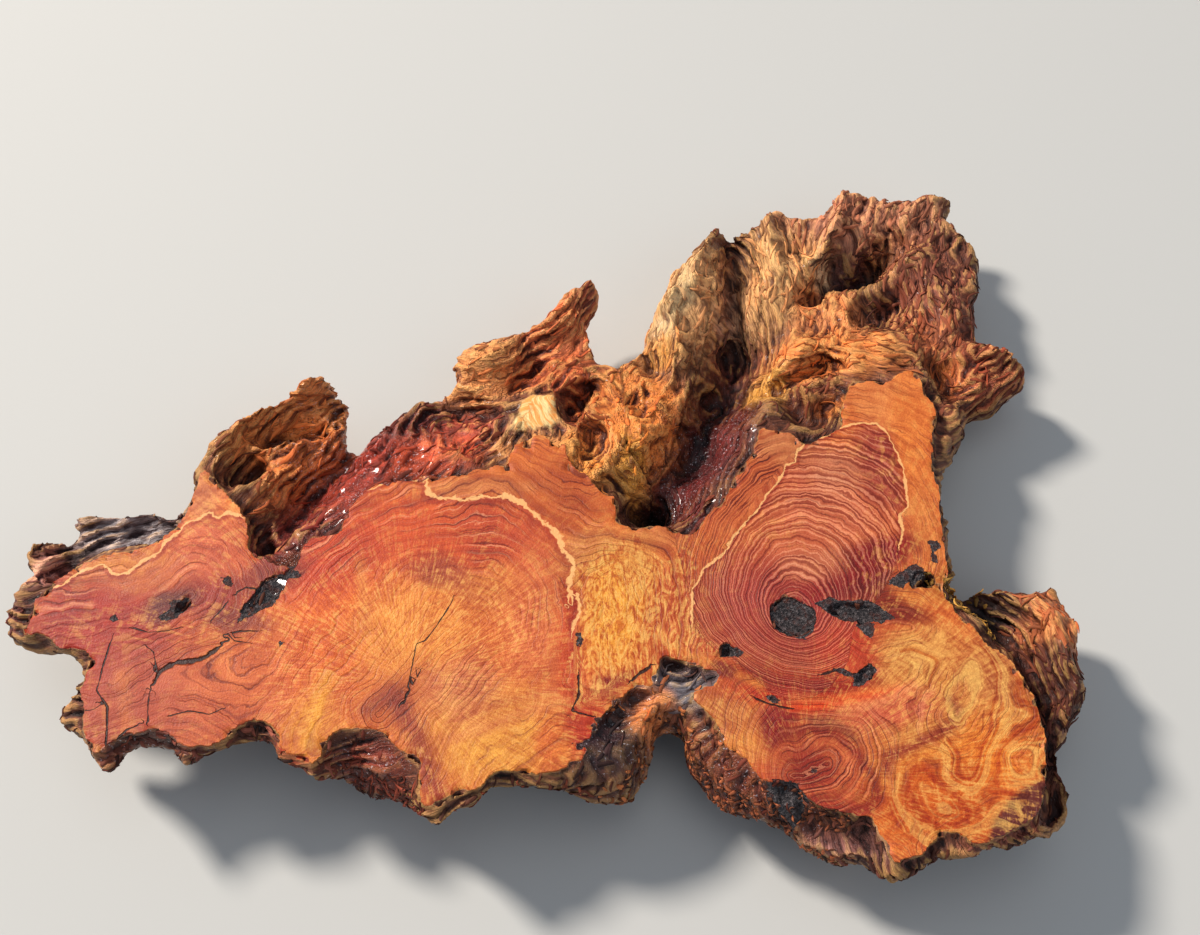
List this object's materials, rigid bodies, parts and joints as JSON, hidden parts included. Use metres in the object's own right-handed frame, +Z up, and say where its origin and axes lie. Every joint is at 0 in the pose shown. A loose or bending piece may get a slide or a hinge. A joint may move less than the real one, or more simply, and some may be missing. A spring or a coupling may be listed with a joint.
{
  "type": "redwood burl",
  "caption": "Slab of redwood root burl, sawn flat on top with swirling figure, with a rough, ropey, weathered natural edge and underside.",
  "frame": {"origin": "middle of the bounding box, on the ground", "axes": "+X along the long side towards the lobe with the two eyes, +Y from the front edge to the weathered back, +Z up, out of the sawn face"},
  "size_m": [0.8801, 0.6746, 0.1],
  "materials": {
    "redwood": "oiled"
  },
  "bodies": {
    "root": {"burl": "redwood"}
  },
  "joints": []
}
